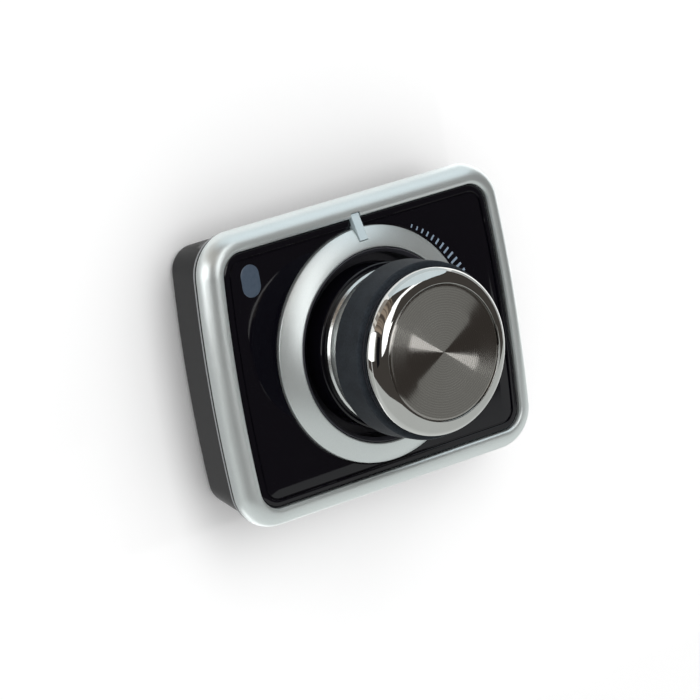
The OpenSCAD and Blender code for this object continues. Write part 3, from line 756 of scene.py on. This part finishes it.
def trim_ring(finish):
    """Silver cone ring, a little crowned, with soft edges and a slot for the light pipe."""
    bore = ring_r - RING_W
    neck = bore + NECK_T
    z_foot = z_face - RECESS_D
    crown, cone_steps = 0.34, 8
    foot_edge, rim_edge, bore_edge = 0.1, 0.32, 0.28
    tip_w = 0.2
    slot_round = 0.2
    top = z_ring_top + tip_w * RING_RISE / RING_W
    cone = [(ring_r - RING_W * share, top - RING_RISE + RING_RISE * share * (1 + crown - crown * share))
            for share in np.linspace(0, 1, cone_steps + 1)[1:-1]]
    ring = lathe("trim_ring_cone", filleted([
        (bore, ring_low[2]), (neck, ring_low[2]), (neck, z_foot), (ring_r, z_foot, foot_edge),
        (ring_r, top - RING_RISE, rim_edge), *cone, (bore, top - 2 * NEAR, bore_edge)]))
    half = pipe_high[0] + FREE_FIT
    start = pipe_low[1] - FREE_FIT
    carve(ring, block((-half, start, z_foot - REACH), (half, ring_r + REACH, z_ring_top + REACH)))

    def slot_edge(at):
        return abs(at.x) < half + NEAR and at.y > start - NEAR and at.z > z_face - 5 * NEAR
    soften(ring, slot_edge, slot_round)
    place(ring, "base", "silver_paint", finish, "trim_ring")


def well_liner(finish):
    """Black cup with a sloped lip round the knob."""
    z_floor = 14.6
    bush = 3.65
    wall, lip, rim = 0.9, 0.9, 0.2
    rim_edge, lip_edge, floor_edge = 0.1, 0.25, 0.5
    outer = ring_r - RING_W - FREE_FIT
    well = outer - wall
    flange, low, high = liner_high[0], liner_low[2], liner_high[2]
    cup = lathe("well_liner_cup", filleted([
        (bush, low), (flange, low), (flange, z_rim), (outer, z_rim), (outer, high, rim_edge),
        (outer - rim, high, rim_edge), (well, high - lip, lip_edge), (well, z_floor, floor_edge),
        (bush, z_floor)]))
    place(cup, "base", "inner_black", finish, "well_liner")


def light_pipe(finish):
    """Clear pointer with soft edges on a square stem."""
    crest_drop = 0.3
    stem = 1.9
    edge = 0.2
    x = pipe_high[0]
    y_in, y_out = pipe_low[1], pipe_high[1]
    z_in, z_out = pipe_high[2], z_crest - crest_drop
    z_low = z_face - PIPE_SINK
    side = np.array([(y_out, z_low), (y_out, z_out), (y_in, z_in), (y_in, pipe_low[2]),
                     (y_in + stem, pipe_low[2]), (y_in + stem, z_low)])
    rings = [np.c_[np.full(len(side), at), side] for at in (-x, x)]
    pipe = skin("light_pipe_prism", rings)
    soften(pipe, lambda at: at.z > z_low + edge, edge)
    place(pipe, "base", "light_guide", finish, "light_pipe")


def status_lens(finish):
    """Pill lens with a low dome, on a round stem."""
    dome_w, dome_h = 1.0, 0.1
    stem_r, stem_in = 1.0, 0.9
    middle = ((lens_low + lens_high) / 2)[:2]
    width, length = (lens_high - lens_low)[:2]
    z_low, z_dome = z_rim, lens_high[2] - dome_h
    rise = [(0.0, z_low), (0.0, z_dome)]
    rise += [(dome_w * (1 - math.cos(a)), z_dome + dome_h * math.sin(a)) for a in quarter(ROUND_STEPS)[1:]]
    lens = skin("status_lens_pill", [level(pill(middle, width, length, inset), z) for inset, z in rise])
    carve(lens, rod(middle, stem_r, lens_low[2], z_low + stem_in, SCREW_STEPS), operation="UNION")
    place(lens, "base", "lens_blue", finish, "status_lens")


def volume_marks(finish):
    """Printed ramp of tick marks round the upper right of the ring, longer towards the loud end."""
    first, last, count = 57.0, 17.0, 13
    inner = ring_r + 0.75
    half_w_first, half_w_more = 0.16, 0.12
    length_first, length_more = 0.7, 1.5
    thick = 0.02
    points, faces = [], []
    for k in range(count):
        share = k / (count - 1)
        turn = math.radians(first + (last - first) * share)
        outward = np.array([math.cos(turn), math.sin(turn)])
        across = np.array([-outward[1], outward[0]]) * (half_w_first + half_w_more * share)
        outer = inner + length_first + length_more * share
        ring = np.array([outward * inner - across, outward * outer - across,
                         outward * outer + across, outward * inner + across])
        base = len(points)
        points += [*level(ring, z_face), *level(ring, z_face + thick)]
        faces += [tuple(base + i for i in range(4)), tuple(base + 4 + i for i in range(4))]
        faces += [(base + i, base + (i + 1) % 4, base + 4 + (i + 1) % 4, base + 4 + i) for i in range(4)]
    place(solid("volume_marks", points, faces), "base", "lens_blue", finish)


# Pieces of the knob

def knob_skirt(finish):
    """Black ring at the foot of the knob."""
    r, low, high = skirt_high[0], skirt_low[2], skirt_high[2]
    edge = 0.4
    ring = lathe("knob_skirt_ring", filleted([
        (TUBE_R, low), (r, low, edge), (r, high, edge), (TUBE_R, high)]))
    place(ring, "knob", "gloss_black", finish, "knob_skirt")


def knob_collar(finish):
    """Chrome collar: a rim, a slope and a neck that tapers."""
    r, low, high = collar_high[0], collar_low[2], collar_high[2]
    rim, step, slope, taper = 0.7, 0.3, 0.5, 0.3
    rim_edge, foot_edge = 0.15, 0.2
    ring = lathe("knob_collar_ring", filleted([
        (TUBE_R, low), (r, low, rim_edge), (r, low + rim, rim_edge),
        (r - step, low + rim + slope, foot_edge), (r - step - taper, high), (TUBE_R, high)]))
    place(ring, "knob", "chrome_trim", finish, "knob_collar")


def grip_sleeve(finish):
    """Rubber sleeve with round edges."""
    r, low, high = grip_high[0], grip_low[2], grip_high[2]
    rear_edge, front_edge = 0.5, 0.4
    sleeve = lathe("grip_sleeve_rubber", filleted([
        (SEAT_R, low), (r, low, rear_edge), (r, high, front_edge), (SEAT_R, high)]))
    place(sleeve, "knob", "grip_rubber", finish, "grip_sleeve")


def cap_ring(finish):
    """Chrome cap ring: a half-round section, a little flatter in front, with a small round at the lip."""
    r, low, high = cap_high[0], cap_low[2], cap_high[2]
    lip = DISC_R + FREE_FIT
    lip_edge = 0.1
    flange_gap = 0.05
    section = r - lip - lip_edge
    foot = math.degrees(math.asin((low - high + section) / section))
    start = (r - section * (1 - math.cos(math.radians(foot))), low)
    z_lip = disc_low[2] + DISC_FLANGE_T + flange_gap
    side = (section, foot, 0)
    shoulder = (0.968 * section, 0, 60)
    flatter = (1.355 * section, 60, 76)
    crest = (0.66 * section, 76, 90)
    front = bent(start, [side, shoulder, flatter, crest])
    ring = lathe("cap_ring_chrome", np.vstack([
        [(SPIGOT_R, low)], front, arc((lip + lip_edge, high - lip_edge), lip_edge, 90, 180, 4)[1:],
        [(lip, z_lip), (SPIGOT_R, z_lip)]]))
    place(ring, "knob", "chrome_trim", finish, "cap_ring")


def cap_disc(finish):
    """Spun disc with a bevelled edge, held by a flange."""
    flange, low, high = disc_high[0], disc_low[2], disc_high[2]
    bevel_h, bevel_ease, bevel_steps = 0.12, 0.25, 6
    rings = 24
    flat_r = DISC_R - DISC_BEVEL
    flange_top = low + DISC_FLANGE_T
    bevel = [(flat_r + DISC_BEVEL * share, high - bevel_h * share * (1 - bevel_ease + bevel_ease * share))
             for share in np.linspace(1, 0, bevel_steps + 1)]
    profile = [(0, low), (flange, low), (flange, flange_top), (DISC_R, flange_top), *bevel]
    profile += [(flat_r * (1 - k / rings), high) for k in range(1, rings + 1)]
    disc = lathe("cap_disc_spun", profile, wrap=False)
    place(disc, "knob", "spun_metal", finish, "cap_disc")


def dress_solids(finish, *nodes):
    """Gives solids that stay as they are a finish."""
    for node in nodes:
        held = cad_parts[node].data.materials
        held.clear()
        held.append(finish)


silver = silver_paint()
black_gloss = gloss_black()
black_matt = inner_black()
brass = bare_metal("plated_brass", (0.50, 0.44, 0.30), (0.64, 0.58, 0.42), 0.26, (0.12, 0.12, 1))
steel = bare_metal("plated_steel", (0.42, 0.42, 0.41), (0.58, 0.58, 0.57), 0.22, (1, 0.12, 1))
can_metal = bare_metal("can_aluminium", (0.50, 0.51, 0.53), (0.68, 0.69, 0.71), 0.28, (1, 1, 0.12))
rotor_plastic = moulded("rotor_plastic", (0.50, 0.47, 0.38), (0.62, 0.58, 0.48), 0.4)
case_plastic = moulded("encoder_plastic", (0.008, 0.022, 0.016), (0.016, 0.038, 0.027), 0.42)
part_black = moulded("part_black", (0.008, 0.008, 0.009), (0.018, 0.018, 0.02), 0.45)
lamp_white = moulded("lamp_white", (0.62, 0.62, 0.58), (0.75, 0.75, 0.70), 0.3)

rear_housing(housing_plastic())
front_bezel(silver)
face_panel(black_gloss)
trim_ring(silver)
well_liner(black_matt)
light_pipe(light_guide())
status_lens(lens_blue())
volume_marks(print_ink())
knob_skirt(black_gloss)
knob_collar(satin_chrome())
grip_sleeve(grip_rubber())
cap_ring(chrome_trim())
cap_disc(spun_metal())
dress_solids(steel, "housing_screws", "board_screws", "shaft_clip", "encoder_shaft", "encoder_frame",
             "encoder_washer", "encoder_pins", "detent_spring", "push_dome", "socket_contacts")
dress_solids(brass, "encoder_bushing", "encoder_nut")
dress_solids(black_matt, "front_chassis", "knob_core", "cable_socket")
dress_solids(rotor_plastic, "encoder_rotor")
dress_solids(case_plastic, "encoder_case")
dress_solids(board_laminate(), "circuit_board")
dress_solids(part_black, "controller_chip", "board_resistors")
dress_solids(can_metal, "board_capacitors")
dress_solids(lamp_white, "indicator_led", "status_led")


# Stage: floor, cards that the gloss sees, lamp, world and camera

EAST, NORTH, UPWARD, DOWNWARD = (1, 0, 0), (0, 1, 0), (0, 0, 1), (0, 0, -1)
FLOOR_Z = -0.05
FLOOR_HALF = 4000

# Heights of the cards on the floor, so that none lies in another
CARD_LOW, CARD_MIDDLE, CARD_HIGH = -0.04, -0.03, -0.02


def grey(tone):
    """A colour without a tint."""
    return tone, tone, tone


def glow(name, colour):
    """A plain lit surface for a card."""
    return Finish(name).lit(colour)


def table_glow():
    """Lit table top, a little brighter close to the part."""
    f = Finish("table_glow")
    far = f.axis("Y").between(34, 66)
    return f.lit(f.mix(far, (0.66, 0.68, 0.67), (0.53, 0.545, 0.535)))


def shelf_glow():
    """Brown shelves in upright streaks."""
    f = Finish("shelf_glow")
    streak = f.node("TexNoise", {"noise_dimensions": "1D"},
                    {"W": f.axis("X"), "Scale": 0.022, "Detail": 1.0})
    return f.lit(f.mix(streak.between(0.38, 0.62), (0.09, 0.072, 0.06), (0.36, 0.29, 0.23)))


def turned(facing, up=UPWARD):
    """A rotation whose +Z looks along facing."""
    back = Vector(facing).normalized()
    right = Vector(up).cross(back).normalized()
    return Matrix((right, back.cross(right), back)).transposed()


def gloss_only(made, finish):
    """Lights a stage mesh that only gloss sees."""
    made.data.materials.append(finish)
    made.visible_camera = False
    made.visible_diffuse = False
    made.visible_shadow = False


def card(name, centre, facing, edge, finish, up=UPWARD):
    """A flat card with that edge, which only gloss sees."""
    made = solid(name, level(np.array(edge), 0), [tuple(range(len(edge)))])
    made.matrix_world = Matrix.Translation(Vector(centre) * MM) @ turned(facing, up).to_4x4()
    gloss_only(made, finish)


def floor_card(name, z, colour, edge):
    """A card that lies on the floor, its edge drawn in the part's X and Y."""
    card(name + "_card", (0, 0, z), UPWARD, edge, glow(name + "_glow", colour), NORTH)


def left_wall_card(name, x, colour, edge):
    """A card that stands on the left, its edge drawn in the part's Y and Z."""
    card(name + "_card", (x, 0, 0), EAST, edge, glow(name + "_glow", colour))


def ceiling_card(name, z, colour, edge):
    """A card that hangs over the part, its edge drawn in the part's Y and its X turned round."""
    card(name + "_card", (0, 0, z), DOWNWARD, edge, glow(name + "_glow", colour), NORTH)


def room():
    """A dim dome over everything."""
    radius, around, bands, top = 3600, 48, 11, 88
    rings = [level(arc((0, 0), radius * math.cos(a), 0, 360, around), radius * math.sin(a))
             for a in np.radians(np.linspace(0, top, bands + 1))]
    gloss_only(open_skin("room_card", rings), glow("room_glow", (0.062, 0.055, 0.050)))


def lamp(name, centre, size, radiance):
    """A rectangular soft lamp that looks straight down and that gloss doesn't see."""
    light = bpy.data.lights.new(name, "AREA")
    light.shape = "RECTANGLE"
    light.size, light.size_y = size[0] * MM, size[1] * MM
    light.energy = radiance * math.pi * light.size * light.size_y
    made = bpy.data.objects.new(name, light)
    made.matrix_world = Matrix.Translation(Vector(centre) * MM) @ turned(UPWARD, NORTH).to_4x4()
    made.visible_camera = False
    made.visible_glossy = False
    bpy.context.scene.collection.objects.link(made)


def floor():
    """Large pale floor just under the part."""
    f = Finish("floor_white")
    cloud = f.noise(300, 2)
    white = f.done(Base_Color=f.mix(cloud, grey(0.975), grey(0.985)), Roughness=0.9)
    corners = np.array([(-1, -1), (1, -1), (1, 1), (-1, 1)]) * FLOOR_HALF
    made = solid("floor", level(corners, 0), [(0, 1, 2, 3)])
    made.location.z = FLOOR_Z * MM
    made.data.materials.append(white)


floor()
TABLE_UP = Vector((-0.236, 0.882, 0.407)).normalized()
TABLE_DROP = 40
card("table_card", -TABLE_UP * TABLE_DROP, TABLE_UP,
     [(-110, -700), (-110, 60), (-125, 160), (-220, 259), (-560, 720), (-850, 1150), (-630, 1150),
      (-385, 700), (3000, 700), (3000, -700)], table_glow())
card("shelf_card", (-294, 405, 0), (0.588, -0.809, 0),
     [(-182, 0), (182, 0), (182, 800), (-182, 800)], shelf_glow())
card("window_card", (0, 600, 0), (0, -1, 0),
     [(-130, 0), (-130, 60), (0, 256), (200, 520), (346, 731), (600, 800), (768, 600), (800, 0)],
     glow("window_glow", (0.78, 0.88, 0.93)))

floor_card("bench", CARD_MIDDLE, (0.34, 0.31, 0.28), [(-27, 71), (-58, 48), (-505, 349), (-193, 585)])
floor_card("streak", CARD_HIGH, (0.8, 0.76, 0.7), [(-52, 55), (-55, 51), (-402, 322), (-374, 355)])
floor_card("streak_two", CARD_HIGH, (0.7, 0.64, 0.56), [(-43, 62), (-46, 60), (-330, 396), (-310, 412)])
floor_card("back", CARD_MIDDLE, (0.66, 0.73, 0.76),
           [(-17, 66), (0, 69), (28, 62), (52, 48), (510, 345), (-185, 585)])
floor_card("gap", CARD_MIDDLE, (0.07, 0.06, 0.055),
           [(-60, 5), (-450, 5), (-450, -100), (-227, -43), (-82, -9), (-60, -6)])
floor_card("front", CARD_MIDDLE, (0.5, 0.52, 0.5),
           [(-55, -6), (-82, -9), (-227, -43), (-439, -100), (-439, -420), (-55, -110)])
# Painted shade: a grey card beside the housing, the floor darkened as if in the part's shadow, as the gloss
# sees it.
floor_card("side", CARD_HIGH, grey(0.33), [(-80, -40), (-80, 4), (-60, 40), (-30, 40), (-30, -40)])
floor_card("sweep", CARD_HIGH, grey(2.2), [(-85, 5), (-85, 50), (-450, 287), (-450, 5)])
floor_card("right", CARD_MIDDLE, (0.42, 0.44, 0.44),
           [(112, -100), (112, 70), (500, 330), (900, 0), (700, -300)])
floor_card("strip", CARD_LOW, grey(1.5),
           [(-60, -31), (-60, -90), (110, -90), (110, 60), (39, 60), (39, -31)])
# Painted shadow: a dim card in the part's outline, the floor's shadow under the part as the gloss sees it.
floor_card("under", CARD_MIDDLE, grey(0.25), outline(0))

left_wall_card("left", -450, grey(2.2), [(5, 0), (287, 0), (287, 150), (200, 185), (80, 185), (5, 160)])
left_wall_card("left_top", -455, (0.5, 0.5, 0.48),
               [(5, 100), (287, 100), (287, 240), (200, 270), (80, 270), (5, 240)])
left_wall_card("dark", -600, (0.008, 0.008, 0.01),
               [(-100, 470), (340, 470), (340, 900), (160, 1050), (-100, 900)])

ceiling_card("softbox", 750, grey(1.7),
             [(228, -30), (-50, -30), (-55, 330), (-90, 480), (-470, 570), (-560, 800), (0, 760),
              (330, 520)])
ceiling_card("spot", 745, grey(3.4), [(-62, 117), (-126, 87), (-73, -27), (-9, 3)])
room()
lamp("front_softbox", (-40, 420, 752), (420, 900), 2.2)

scene = bpy.context.scene
scene.view_settings.view_transform = "Standard"
ROOM_LIGHT = 0.8
world = bpy.data.worlds.new("pale_room")
world.use_nodes = True
sky = world.node_tree.nodes["Background"].inputs
sky["Color"].default_value = rgba(grey(1.0))
sky["Strength"].default_value = ROOM_LIGHT
scene.world = world

CAMERA_AT = Vector((-469.09, 173.28, 680.03))
CAMERA_TARGET = Vector((-6.70, 0.51, 18.9))
CAMERA_ROLL = math.radians(-9.448)
CAMERA_LENS = 212.42
CAMERA_SENSOR = 36
CAMERA_FAR = 20000
camera = bpy.data.cameras.new("camera")
camera.lens = CAMERA_LENS
camera.sensor_width = CAMERA_SENSOR
camera.clip_end = CAMERA_FAR * MM
viewer = bpy.data.objects.new("camera", camera)
aim = turned(CAMERA_AT - CAMERA_TARGET, NORTH) @ Matrix.Rotation(CAMERA_ROLL, 3, "Z")
viewer.matrix_world = Matrix.Translation(CAMERA_AT * MM) @ aim.to_4x4()
scene.collection.objects.link(viewer)
scene.camera = viewer
